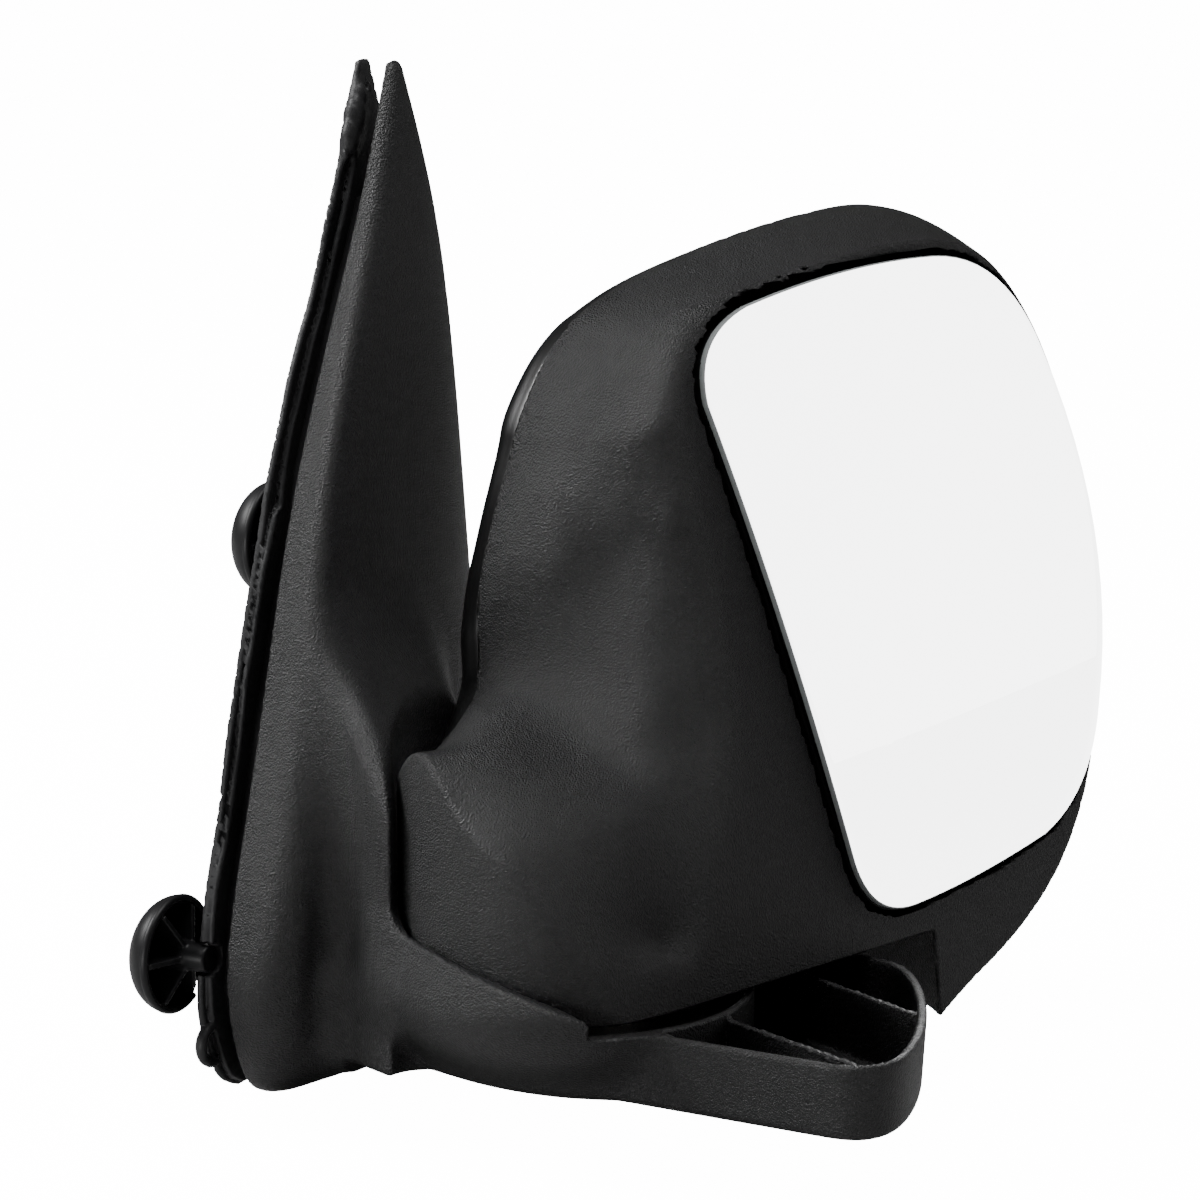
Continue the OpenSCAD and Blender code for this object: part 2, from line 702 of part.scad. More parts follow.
// Screws through the frame's plate into the back shell's bosses
module shell_screws() {
    color("silver") for (x = [-1, 1], y = [-1, 1]) at_shell_screw(x, y) screw(16);
}

// Anti-turn ring between the frame and the glass holder, with a pair of trunnions for each
module gimbal_ring() {
    color("#3a3a3a") at_ball() {
        ring(gimbal_r - 3, gimbal_r + 2, -2.2, 2.2);
        for (a = [0:90:270]) rotate([0, 0, a]) translate([gimbal_r, 0, 0]) rotate([0, 90, 0])
            cylinder(r = trunnion_r, h = 8);
    }
}

// Moulded tray that carries the glass, with the socket for the ball and ears for the ring
module glass_holder() {
    back_z = tray_floor - 3;
    color("#202020") difference() {
        union() {
            in_glass() translate([0, 0, back_z]) linear_extrude(7) polygon(pane);
            at_ball() translate([0, 0, -1.5]) cylinder(r = ball_r + 3, h = glass_pivot_depth + back_z + 2);
            for (s = [-1, 1]) at_ball() translate([s * (gimbal_r + 6), 0, 0]) rotate([0, 90, 0]) {
                cylinder(r = 5, h = 3, center = true);
                translate([-glass_pivot_depth - back_z - 1, -5, -1.5])
                    cube([glass_pivot_depth + back_z + 1, 10, 3]);
            }
        }
        in_glass() translate([0, 0, tray_floor]) linear_extrude(20) polygon(inset(pane, -1.5));
        at_ball() sphere(r = ball_r + post_gap);
        at_ball() rotate([0, 90, 0]) trunnion_bore();
    }
}

// Height of a domed surface above the glass plane, at a radius from the glass's middle
function dome(r, top) = top - r * r / (2 * glass_curve_r);

// Slab cut to the glass outline drawn in by w, domed on top and either flat or domed below
module domed_slab(w, top, bottom, flat) {
    radii = [for (r = [0:26:130]) r];
    intersection() {
        translate([0, 0, -10]) linear_extrude(20) polygon(inset(pane, -w));
        translate([glass_centre[0], glass_centre[1], 0]) rotate_extrude() polygon(concat(
            [for (r = radii) [r, dome(r, top)]],
            flat
                ? [[130, bottom], [0, bottom]]
                : [for (i = [len(radii) - 1:-1:0]) [radii[i], dome(radii[i], bottom)]]
        ));
    }
}

// Adhesive foam between the glass and its tray
module glass_pad() {
    color("#101010") in_glass() domed_slab(2.5, glass_top - glass_t, tray_floor, true);
}

// Convex mirror glass, silvered on its back
module mirror_glass() {
    color("#e6e8ea") in_glass() domed_slab(1.8, glass_top, glass_top - glass_t, false);
}

door_gasket();
base_plate();
plate_screws();
mounting_studs();
lower_locating_plug();
upper_locating_plug();
foot_cover();
pivot_post();
post_screws();
fixed_detent_ring();
pivot_spring();
spring_retainer();
spring_seat();
moving_detent_ring();
head_frame();
head_bezel();
head_back_shell();
bezel_screws();
shell_screws();
frame_ball_stud();
gimbal_ring();
glass_holder();
glass_pad();
mirror_glass();
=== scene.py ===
"""Folding door mirror: a grained plastic foot and head, wavy door gasket, ribbed locating plugs and convex glass."""
import math

import bpy
import numpy as np
import openvdb
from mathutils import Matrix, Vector


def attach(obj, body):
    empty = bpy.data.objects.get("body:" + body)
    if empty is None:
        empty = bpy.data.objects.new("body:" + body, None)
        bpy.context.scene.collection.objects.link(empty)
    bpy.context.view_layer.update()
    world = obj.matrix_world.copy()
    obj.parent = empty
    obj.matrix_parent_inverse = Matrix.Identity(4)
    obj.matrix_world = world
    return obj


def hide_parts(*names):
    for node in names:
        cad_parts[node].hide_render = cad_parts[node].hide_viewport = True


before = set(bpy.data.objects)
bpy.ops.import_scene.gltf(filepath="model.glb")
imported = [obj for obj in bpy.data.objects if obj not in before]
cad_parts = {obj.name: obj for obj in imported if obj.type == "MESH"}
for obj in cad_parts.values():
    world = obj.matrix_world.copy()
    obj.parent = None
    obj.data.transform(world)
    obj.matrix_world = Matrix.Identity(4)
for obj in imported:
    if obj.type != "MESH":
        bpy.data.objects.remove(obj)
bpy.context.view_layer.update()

MM = 0.001
PIVOT = np.array([105.0, 55.0, 0.0])
FOLD = math.radians(75)
HEAD_U = np.array([math.cos(FOLD), math.sin(FOLD), 0.0])
HEAD_D = np.array([-math.sin(FOLD), math.cos(FOLD), 0.0])
LEAN = math.radians(11)
GLASS_BACK = 50.0
PARTING = 38.0
WALL = 3.0
FLOOR_V = -5.4
KNUCKLE_R = 55.0
SWEEP_R = 130.5
GLASS_GAP = 1.35
RELAX = 0.003
GLASS_TOP = 5.0
GLASS_THICK = 2.0
GLASS_CURVE_R = 2400.0
GLASS_MIDDLE = np.array([140.0, 110.0])


# ---------------------------------------------------------------- distance fields
def smooth(t):
    t = np.clip(t, 0, 1)
    return t * t * (3 - 2 * t)


def both(a, b, r):
    """Intersection of two distance fields, with its edge rounded to radius r."""
    rounded = np.sqrt(np.maximum(r + a, 0) ** 2 + np.maximum(r + b, 0) ** 2)
    return np.minimum(-r, np.maximum(a, b)) + rounded


def either(a, b, r):
    """Union of two distance fields, with its valley filled to radius r."""
    return -both(-a, -b, r)


def without(a, b, r):
    return both(a, -b, r)


def spline(points, per=12, closed=True):
    """Smooth curve through points: a cubic with natural chord spacing."""
    p = np.array(points, float)
    if closed:
        p = np.vstack([p[-3:], p, p[:4]])
    chord = np.concatenate([[0], np.cumsum(np.linalg.norm(np.diff(p, axis=0), axis=1) ** 0.7)])
    n = len(p)
    h = np.diff(chord)
    m = np.zeros((n, n))
    rhs = np.zeros((n, p.shape[1]))
    m[0, 0] = m[-1, -1] = 1
    for i in range(1, n - 1):
        m[i, i - 1], m[i, i], m[i, i + 1] = h[i - 1], 2 * (h[i - 1] + h[i]), h[i]
        rhs[i] = 6 * ((p[i + 1] - p[i]) / h[i] - (p[i] - p[i - 1]) / h[i - 1])
    k = np.linalg.solve(m, rhs)
    out = []
    first, last = (3, n - 4) if closed else (0, n - 1)
    for i in range(first, last):
        t = np.linspace(0, 1, per, endpoint=False)[:, None]
        a, b = p[i], p[i + 1]
        out.append(
            a * (1 - t) + b * t
            + h[i] ** 2 / 6 * (((1 - t) ** 3 - (1 - t)) * k[i] + (t ** 3 - t) * k[i + 1])
        )
    if not closed:
        out.append(p[-1:])
    return np.vstack(out)


def table(x, rows):
    """Smooth one-dimensional lookup through rows of (position, value), flat beyond its ends."""
    curve = spline(rows, 16, closed=False)
    return np.interp(x, curve[:, 0], curve[:, 1])


class Lattice:
    """Values on a square lattice, read back smoothly between its points."""

    def __init__(self, low, high, step, fill):
        self.low, self.step = np.array(low, float), step
        n = np.ceil((np.array(high) - self.low) / step).astype(int) + 1
        a = self.low[0] + step * np.arange(n[0])
        b = self.low[1] + step * np.arange(n[1])
        self.values = fill(a[:, None], b[None, :])

    def read(self, a, b):
        total = 0
        x = np.clip((a - self.low[0]) / self.step, 1, self.values.shape[0] - 3.001)
        y = np.clip((b - self.low[1]) / self.step, 1, self.values.shape[1] - 3.001)
        i, j = np.floor(x).astype(np.int32), np.floor(y).astype(np.int32)
        wx, wy = weights(x - i), weights(y - j)
        for m in range(4):
            for n in range(4):
                total = total + wx[m] * wy[n] * self.values[i + m - 1, j + n - 1]
        return total


def weights(t):
    return (
        ((-0.5 * t + 1) * t - 0.5) * t,
        (1.5 * t - 2.5) * t * t + 1,
        ((-1.5 * t + 2) * t + 0.5) * t,
        (0.5 * t - 0.5) * t * t,
    )


def outline(points, margin=24, step=1.5):
    """Signed distance to a closed outline, negative inside."""
    p = np.array(points, float)
    q = np.roll(p, -1, axis=0)

    def fill(a, b):
        best = np.full((a.shape[0], b.shape[1]), 1e9)
        inside = np.zeros(best.shape, bool)
        for s, e in zip(p, q):
            v = e - s
            t = np.clip(((a - s[0]) * v[0] + (b - s[1]) * v[1]) / max(v @ v, 1e-9), 0, 1)
            best = np.minimum(best, (a - s[0] - t * v[0]) ** 2 + (b - s[1] - t * v[1]) ** 2)
            if s[1] != e[1]:
                crossed = ((s[1] > b) != (e[1] > b)) & (a < (b - s[1]) * v[0] / v[1] + s[0])
                inside ^= crossed
        return np.where(inside, -1, 1) * np.sqrt(best)

    return Lattice(p.min(0) - margin, p.max(0) + margin, step, fill)


def thin_plate(anchors, low, high, step):
    """Smooth height field through anchors, each (a, b, height)."""
    p = np.array(anchors, float)
    scale = 50.0
    xy = p[:, :2] / scale

    def kernel(r2):
        return np.where(r2 > 1e-12, 0.5 * r2 * np.log(np.maximum(r2, 1e-12)), 0)

    n = len(p)
    k = kernel(((xy[:, None] - xy[None]) ** 2).sum(-1)) + RELAX * np.eye(n)
    q = np.hstack([np.ones((n, 1)), xy])
    m = np.block([[k, q], [q.T, np.zeros((3, 3))]])
    w = np.linalg.solve(m, np.concatenate([p[:, 2], np.zeros(3)]))

    def fill(a, b):
        total = w[n] + w[n + 1] * a / scale + w[n + 2] * b / scale
        for i in range(n):
            total = total + w[i] * kernel((a / scale - xy[i, 0]) ** 2 + (b / scale - xy[i, 1]) ** 2)
        return total

    return Lattice(low, high, step, fill)


def skin(name, field, low, high, step, place, adaptivity=0.0):
    """Mesh of the surface where field is zero, drawn onto it exactly, with the field's own normals."""
    low, high = np.array(low, float), np.array(high, float)
    n = np.ceil((high - low) / step).astype(int) + 1
    axes = [low[i] + step * np.arange(n[i]) for i in range(3)]
    dense = field(axes[0][:, None, None], axes[1][None, :, None], axes[2][None, None, :])
    dense = np.broadcast_to(dense, n)
    grid = openvdb.FloatGrid(3.0 * step)
    grid.copyFromArray(np.clip(dense, -3 * step, 3 * step).astype(np.float32), tolerance=0.0)
    points, triangles, quads = grid.convertToPolygons(isovalue=0.0, adaptivity=adaptivity)
    points = points.astype(float) * step + low
    e = 0.15

    def slope(p):
        g = np.zeros_like(p)
        for i in range(3):
            o = np.zeros(3)
            o[i] = e
            a, b = p + o, p - o
            g[:, i] = (field(a[:, 0], a[:, 1], a[:, 2]) - field(b[:, 0], b[:, 1], b[:, 2])) / (2 * e)
        return g

    for _ in range(3):
        g = slope(points)
        f = field(points[:, 0], points[:, 1], points[:, 2])
        step_back = (f / np.maximum((g * g).sum(1), 0.2))[:, None] * g
        length = np.linalg.norm(step_back, axis=1)[:, None]
        points = points - step_back * np.minimum(1, 0.6 * step / np.maximum(length, 1e-9))
    normals = slope(points)
    normals /= np.maximum(np.linalg.norm(normals, axis=1)[:, None], 1e-9)
    corners = np.concatenate([triangles.ravel(), quads.ravel()]).astype(np.int32)
    sizes = np.concatenate([np.full(len(triangles), 3), np.full(len(quads), 4)])
    world, turned = place(points), place(normals, True)
    return mesh_of(name, world * MM, corners, sizes, turned)


def mesh_of(name, points, corners, sizes, normals=None):
    mesh = bpy.data.meshes.new(name)
    mesh.vertices.add(len(points))
    mesh.vertices.foreach_set("co", points.astype(np.float32).ravel())
    mesh.loops.add(len(corners))
    mesh.loops.foreach_set("vertex_index", np.ascontiguousarray(corners, np.int32))
    mesh.polygons.add(len(sizes))
    starts = np.concatenate([[0], np.cumsum(sizes)[:-1]]).astype(np.int32)
    mesh.polygons.foreach_set("loop_start", starts)
    mesh.update(calc_edges=True)
    mesh.validate()
    mesh.polygons.foreach_set("use_smooth", np.ones(len(mesh.polygons), bool))
    if normals is not None and len(mesh.vertices) == len(normals):
        mesh.normals_split_custom_set_from_vertices(normals.tolist())
    obj = bpy.data.objects.new(name, mesh)
    bpy.context.scene.collection.objects.link(obj)
    return obj


def from_head(p, direction=False):
    w = p[:, :1] * HEAD_U + p[:, 1:2] * HEAD_D + p[:, 2:3] * np.array([0, 0, 1.0])
    return w if direction else w + PIVOT


def as_is(p, direction=False):
    return p


# ---------------------------------------------------------------- head
def glass_plane(v):
    return v * math.tan(LEAN) - GLASS_BACK


REAR_OUTLINE = outline(spline([
    (-60, -60), (-75, 20), (-72, 90), (-52, 150), (-14, 184), (18, 197), (50, 206), (90, 212), (130, 215.8),
    (164, 216), (188, 209.5), (203, 196.5), (215, 176.5), (224, 146), (229, 111), (228.3, 81), (220.8, 55),
    (211.5, 32), (202, 17), (189, 3), (172, -9), (152, -19), (130, -28), (60, -60),
]))
FRONT_OUTLINE = outline(spline([
    (-60, -60), (-75, 20), (-72, 90), (-54, 142), (-24, 174), (14, 190), (42, 200), (60, 207), (89, 214),
    (128, 220), (165, 223), (186, 221.5), (204, 212), (219, 189), (230, 157), (236, 125), (237, 90), (233, 50),
    (223, 20), (209, 0), (192, -20), (170, -33), (130, -36), (60, -60),
]))
# Inboard side of the head as (outboard, forward, up): chin and crease, lower wall, floor, rim and front edge
INBOARD = [
    (-23, -50, -7), (-6, -48, 12), (10, -44, 33), (19, -39, 57), (25, -34, 81), (25.5, -28, 112), (23, -24, 131),
    (20, -22, 146), (17, -16, 176), (16, -11, 198),
    (-33.5, -43.7, 12), (-44.2, -32.7, 31), (-51.2, -20, 47.6), (-55, -2, 62.5), (-54.4, 8, 73), (-48, 24, 72),
    (-18, -38.5, 33), (-2, -43.5, 12), (-32, -25, 53), (-8, -34, 54),
    (-14, -10, 69), (-20, 20, 81), (-4, 0, 77), (-9, 15, 83), (6, -17, 68), (-5, 40, 86),
    (4, 8, 88), (12, -18, 76), (19, -20, 90), (21, -16, 111), (14, 0, 109), (21, -5, 131), (8, 12, 126),
    (-1, 32, 126), (18, 0, 152), (9, 20, 150), (19, 6, 172),
    (-29, 46, 54), (-18, 45, 65), (-12, 45, 75), (-6, 45, 99), (1, 45, 131), (12, 44, 163),
    (-66, -30, 10), (-72, -14, 34), (-80, 10, 62), (-80, 28, 76), (-70, 50, 70), (-40, 70, 50),
    (-8, -58, -20), (-36, -54, -20), (30, -58, 70), (30, -48, 120), (26, -40, 170), (18, -30, 205),
]
FACING = np.array([-0.56, -0.56, 0.61])
FACING /= np.linalg.norm(FACING)
ACROSS = np.cross(FACING, [0, 0, 1.0])
ACROSS /= np.linalg.norm(ACROSS)
ALONG = np.cross(FACING, ACROSS)
_flat = np.array(INBOARD, float) @ np.array([ACROSS, ALONG, FACING]).T
INBOARD_FIELD = thin_plate(_flat, _flat[:, :2].min(0) - 40, _flat[:, :2].max(0) + 40, 3.0)
_gx, _gy = np.gradient(INBOARD_FIELD.values, 3.0)
INBOARD_SLOPE = Lattice((0, 0), (9, 9), 3.0, lambda a, b: a * 0 + b * 0)
INBOARD_SLOPE.low, INBOARD_SLOPE.values = INBOARD_FIELD.low, 1 / np.sqrt(1 + _gx ** 2 + _gy ** 2)


def inboard_side(u, d, v):
    a = ACROSS[0] * u + ACROSS[1] * d + ACROSS[2] * v
    b = ALONG[0] * u + ALONG[1] * d + ALONG[2] * v
    c = FACING[0] * u + FACING[1] * d + FACING[2] * v
    return (c - INBOARD_FIELD.read(a, b)) * INBOARD_SLOPE.read(a, b)


def head_outer(u, d, v):
    """The head as one solid, before it is split and hollowed."""
    depth = (d - glass_plane(v)) / (PARTING - glass_plane(v))
    lean = np.sin(math.pi / 2 * np.clip(depth * 1.15, 0, 1))
    sides = REAR_OUTLINE.read(u, v) * (1 - lean) + FRONT_OUTLINE.read(u, v) * lean
    inboard = inboard_side(u, d, v)
    rear = (glass_plane(v) - d) * math.cos(LEAN)
    crown = PARTING + 17.2 - 4 * (((u - 110) / 125) ** 2 + ((v - 95) / 125) ** 2)
    front = (d - crown) * 0.97
    stadium = np.sqrt(np.minimum(u, 0) ** 2 + d * d) - KNUCKLE_R
    stadium = np.where(u > 0, -40, stadium)
    corner = 5 + 26 * smooth((v - 120) / 60) * smooth((90 - u) / 50)
    body = both(sides, inboard, corner)
    rim = 1.2 + 3 * smooth((110 - u) / 60) + 20 * smooth((62 - u) / 40) * smooth((v - 10) / 70)
    body = both(body, rear, rim)
    body = both(body, stadium, 1.6)
    body = both(body, front, 15)
    arm_room = both(np.sqrt(u * u + d * d) - SWEEP_R, v - FLOOR_V, 0.5)
    return without(body, arm_room, 1.0)


def bend(a, b, c, n):
    """Quadratic curve from a to c, bent towards b, without its last point."""
    t = np.linspace(0, 1, n, endpoint=False)[:, None]
    a, b, c = (np.array(p, float) for p in (a, b, c))
    return (a * (1 - t) + b * t) * (1 - t) + (b * (1 - t) + c * t) * t


def pane_outline():
    return np.vstack([
        bend((112, 5), (89, 3), (83, 24), 30), bend((83, 24), (62, 116), (44, 180), 30),
        bend((44, 180), (42, 202), (68, 209), 30), bend((68, 209), (118, 218), (162, 215.5), 24),
        bend((162, 215.5), (199, 213), (212, 178), 24), bend((212, 178), (239, 112), (217.5, 54), 24),
        bend((217.5, 54), (208, 24), (180, 15), 24), bend((180, 15), (142, 7), (112, 5), 20),
    ])


PANE = pane_outline()
OPENING = outline(PANE, 20)


def opening(u, d, v, grow):
    """Prism of the glass outline, square to the glass plane."""
    up = v * math.cos(LEAN) + (d + GLASS_BACK) * math.sin(LEAN)
    return OPENING.read(u, up) - grow


def bezel_field(u, d, v):
    outer = head_outer(u, d, v)
    shell = np.maximum(outer, -(outer + WALL))
    up = v * math.cos(LEAN) + (d + GLASS_BACK) * math.sin(LEAN)
    deep = (d - glass_plane(v)) * math.cos(LEAN)
    room = GLASS_GAP + 1.5 * smooth((deep + 0.3) / 2.5)
    hole = np.maximum(OPENING.read(u, up) - room, deep - 14)
    hole = np.maximum(hole, outer + 0.9 - 8 * smooth(1 - deep / 4))
    shell = without(shell, hole, 0.5)
    notch = 7.0 * smooth(1 - np.abs(v - 76) / 13.0) * smooth(1 - (u + 5) / 30)
    shell = both(shell, d - (PARTING - 0.2) + notch, 0.6)
    hub = np.sqrt(u * u + d * d) - 33
    return np.maximum(shell, -np.maximum(hub, v - 3))


def back_field(u, d, v):
    outer = head_outer(u, d, v) + 0.9 * smooth((46 - d) / 6) + 0.35
    shell = np.maximum(outer, -(outer + WALL - 0.6))
    notch = 7.0 * smooth(1 - np.abs(v - 76) / 13.0) * smooth(1 - (u + 5) / 30)
    lap = (PARTING - 0.5 - notch * 1.15) - d
    return both(shell, lap, 0.3)


# ---------------------------------------------------------------- foot
SAIL_REAR = [(-48, 18), (-44, 10), (-36, 4), (-11, -3), (15, 0), (67, 16), (150, 42), (235, 82), (279, 99)]
SAIL_FRONT = [(-48, 105), (-40, 119), (-30, 125), (60, 128), (140, 127), (225, 121), (279, 105)]
SAIL_REACH = [(-60, 26), (-48, 32), (-36, 38), (0, 42), (60, 40), (140, 31), (225, 22), (285, 15)]
COVER_X = 12.0
_rear = spline([(y, z) for z, y in SAIL_REAR], 12, closed=False)
_front = spline([(y, z) for z, y in SAIL_FRONT[::-1]], 12, closed=False)
SAIL = outline(np.vstack([_rear, _front]))
ARM_PLAN = np.vstack([
    [(34, 20), (212, 20)],
    spline([(212, 20), (223, 22.5), (230, 31), (230, 48), (222, 74), (211, 97), (198, 117), (187, 127), (172, 130)], 8,
           closed=False),
    [(34, 130)],
])
ARM = outline(ARM_PLAN)
TOWER = outline([(6, 48), (22, 40), (34, 30), (45, 21), (54, 14), (61, 9.8), (65, 8.4), (66.8, 8.2), (66, 14), (64, 20),
                 (63, 40), (62, 74), (40, 82), (6, 86)])
BOWL = [(-60, 26), (-40, 32), (-34, 36), (-28, 43), (-22, 51), (-16, 57.5), (-9, 61), (-2, 62.4), (6, 61.4), (16, 59),
        (40, 58), (90, 58)]
LIP = [(-270, -12), (-214, -12), (-206, 17), (-131, 17), (-120, 16), (-105, 14), (-82, 8), (-70, 4), (-60, 0.2), (-47, -5), (-36, -7.6), (0, -9), (90, -12)]
RIM_Z = -7.6
BOTTOM_Z = -34.0
RIBS = [((160, 53), (233, 24.5)), ((165, 106), (222, 81))]


def sail_field(x, y, z, grow):
    rear, front, reach = table(z, SAIL_REAR), table(z, SAIL_FRONT), table(z, SAIL_REACH)
    s = (y - rear) / (front - rear)
    bow = table(np.clip(s, -0.2, 1.2), [(-0.2, 0.42), (0, 0.66), (0.12, 0.82), (0.3, 0.96), (0.48, 1.0), (0.64, 0.99),
                                        (0.82, 0.9), (1.0, 0.66), (1.2, 0.3)])
    face = (x - COVER_X - (reach - COVER_X) * bow) * 0.94
    edge = 3.5 + 8 * smooth((170 - z) / 190)
    return both(SAIL.read(y, z), face, edge) + grow


def foot_field(x, y, z):
    dx, dy = x - PIVOT[0], y - PIVOT[1]
    radius = np.sqrt(dx * dx + dy * dy)
    turn = np.degrees(np.arctan2(dy, dx))
    turn = np.where(turn > 90, turn - 360, turn)
    sail = sail_field(x, y, z, 0)
    tower = both(TOWER.read(x, y), (z - 62 - (66 - x) * 1.05) * 0.72, 9)
    tower = both(tower, BOTTOM_Z - z, 4)
    bowl = (radius - table(z, BOWL)) * 0.86
    lip = both(bowl, z - table(turn, LIP), 1.1)
    draft = (RIM_Z - z) * 0.06
    arm = both(ARM.read(x, y) + draft, BOTTOM_Z - z, 5)
    arm = both(arm, z - RIM_Z, 1.2)
    solid = either(sail, tower, 15)
    solid = either(solid, both(lip, BOTTOM_Z - z, 6), 9)
    solid = either(solid, arm, 13 * smooth((178 - x) / 60) + 0.5)
    solid = both(solid, BOTTOM_Z - z - 40 * smooth((44 - x) / 8), 4)
    solid = both(solid, COVER_X - x, 0.8)
    # pocket, cavities and ribs
    pocket = both(radius - 56, -12 - z, 1.5)
    cavity = both(both(ARM.read(x, y) + draft + WALL, BOTTOM_Z + WALL - z, 3), 59.2 - radius, 1)
    cavity = both(cavity, 66 - x, 2)
    for a, b in RIBS:
        a, b = np.array(a, float), np.array(b, float)
        n = np.array([-(b - a)[1], (b - a)[0]]) / np.linalg.norm(b - a)
        rib = np.abs((x - a[0]) * n[0] + (y - a[1]) * n[1]) - 1.2
        cavity = without(cavity, both(rib, z - RIM_Z + 1.6, 0.4), 0.8)
    hollow = both(sail_field(x, y, z, WALL), z - 222, 2)
    under = both(radius - 30, z + 16, 0.5)
    swept = both(both(-50.4 - dy, -7.2 - z, 0.3), both(radius - 64, -20 - dx, 0.3), 0.3)
    bore = radius - 13.4
    for hole, r in ((pocket, 1.6), (cavity, 0.8), (hollow, 0.6), (under, 0.6), (bore, 0.4), (swept, 0.4)):
        solid = without(solid, hole, r)
    return solid


# ---------------------------------------------------------------- materials
def material(name, color, rough, metal=0.0, build=None, spec=0.5):
    m = bpy.data.materials.new(name)
    m.use_nodes = True
    n, l = m.node_tree.nodes, m.node_tree.links
    p = n["Principled BSDF"]
    p.inputs["Base Color"].default_value = (*color, 1)
    p.inputs["Roughness"].default_value = rough
    p.inputs["Metallic"].default_value = metal
    p.inputs["Specular IOR Level"].default_value = spec
    if build:
        build(n, l, p)
    return m


def coords(n):
    return n.new("ShaderNodeTexCoord").outputs["Object"]


def noise(n, l, scale, detail=3.0, rough=0.5, kind="ShaderNodeTexNoise"):
    t = n.new(kind)
    t.inputs["Scale"].default_value = scale
    t.inputs["Detail"].default_value = detail
    t.inputs["Roughness"].default_value = rough
    l.new(coords(n), t.inputs["Vector"])
    return t


def ramp(n, l, source, stops):
    r = n.new("ShaderNodeValToRGB")
    while len(r.color_ramp.elements) < len(stops):
        r.color_ramp.elements.new(0.5)
    for e, (at, value) in zip(r.color_ramp.elements, stops):
        e.position = at
        c = value if isinstance(value, tuple) else (value,) * 3
        e.color = (*c, 1)
    l.new(source, r.inputs["Fac"])
    return r.outputs["Color"]


def bump(n, l, p, height, strength, distance):
    b = n.new("ShaderNodeBump")
    b.inputs["Strength"].default_value = strength
    b.inputs["Distance"].default_value = distance
    l.new(height, b.inputs["Height"])
    l.new(b.outputs["Normal"], p.inputs["Normal"])
    return b


def math_node(n, l, operation, *inputs):
    m = n.new("ShaderNodeMath")
    m.operation = operation
    for slot, value in zip(m.inputs, inputs):
        if isinstance(value, (int, float)):
            slot.default_value = value
        else:
            l.new(value, slot)
    return m.outputs[0]


def grained(cell, depth, base, rough):
    """Moulded leather grain: fine raised cells with pits between them, over faint mottling."""

    def build(n, l, p):
        cells = n.new("ShaderNodeTexVoronoi")
        cells.feature = "SMOOTH_F1"
        cells.inputs["Scale"].default_value = 1 / cell
        cells.inputs["Smoothness"].default_value = 0.5
        l.new(coords(n), cells.inputs["Vector"])
        fine = noise(n, l, 1.3 / cell, 4, 0.62)
        height = math_node(n, l, "MULTIPLY_ADD", fine.outputs["Fac"], 1.3, cells.outputs["Distance"])
        bump(n, l, p, height, 1.0, depth)
        mottling = noise(n, l, 40, 4)
        low, high = tuple(0.85 * c for c in base), tuple(1.15 * c for c in base)
        l.new(ramp(n, l, mottling.outputs["Fac"], [(0.3, low), (0.7, high)]), p.inputs["Base Color"])
        l.new(ramp(n, l, fine.outputs["Fac"], [(0.3, rough - 0.06), (0.7, rough + 0.06)]), p.inputs["Roughness"])

    return build


def satin(base, rough, dust=0.0):
    """Smooth moulded plastic: faint flow marks, and a few specks of dust where dust is above zero."""

    def build(n, l, p):
        flow = noise(n, l, 30, 3)
        l.new(ramp(n, l, flow.outputs["Fac"], [(0.3, rough - 0.03), (0.7, rough + 0.04)]), p.inputs["Roughness"])
        fine = noise(n, l, 900, 3, 0.6)
        bump(n, l, p, fine.outputs["Fac"], 0.25, 0.00006)
        dark = ramp(n, l, flow.outputs["Fac"], [(0.2, tuple(0.8 * c for c in base)), (0.8, tuple(1.2 * c for c in base))])
        if dust:
            speck = n.new("ShaderNodeTexVoronoi")
            speck.inputs["Scale"].default_value = 190
            l.new(coords(n), speck.inputs["Vector"])
            spots = ramp(n, l, speck.outputs["Distance"], [(0.0, 1.0), (0.055, 0.0)])
            mix = n.new("ShaderNodeMix")
            mix.data_type = "RGBA"
            mix.inputs["B"].default_value = (dust, dust, dust, 1)
            l.new(spots, mix.inputs["Factor"])
            l.new(dark, mix.inputs["A"])
            l.new(mix.outputs["Result"], p.inputs["Base Color"])
        else:
            l.new(dark, p.inputs["Base Color"])

    return build


def brushed(scale, low, high):
    """Plated or drawn metal: fine scratches and uneven gloss."""

    def build(n, l, p):
        t = noise(n, l, scale, 5, 0.7)
        l.new(ramp(n, l, t.outputs["Fac"], [(0.3, low), (0.7, high)]), p.inputs["Roughness"])
        bump(n, l, p, t.outputs["Fac"], 0.3, 0.00005)

    return build


def foam(n, l, p):
    t = noise(n, l, 260, 5, 0.65)
    bump(n, l, p, t.outputs["Fac"], 0.5, 0.0006)
    l.new(ramp(n, l, t.outputs["Fac"], [(0.3, 0.42), (0.7, 0.6)]), p.inputs["Roughness"])
    w = noise(n, l, 35, 3)
    l.new(ramp(n, l, w.outputs["Fac"], [(0.3, (0.008, 0.008, 0.0085)), (0.75, (0.02, 0.02, 0.021))]),
          p.inputs["Base Color"])


def silvered(n, l, p):
    t = noise(n, l, 6, 2)
    l.new(ramp(n, l, t.outputs["Fac"], [(0.3, (0.93, 0.935, 0.94)), (0.7, (0.96, 0.96, 0.96))]), p.inputs["Base Color"])


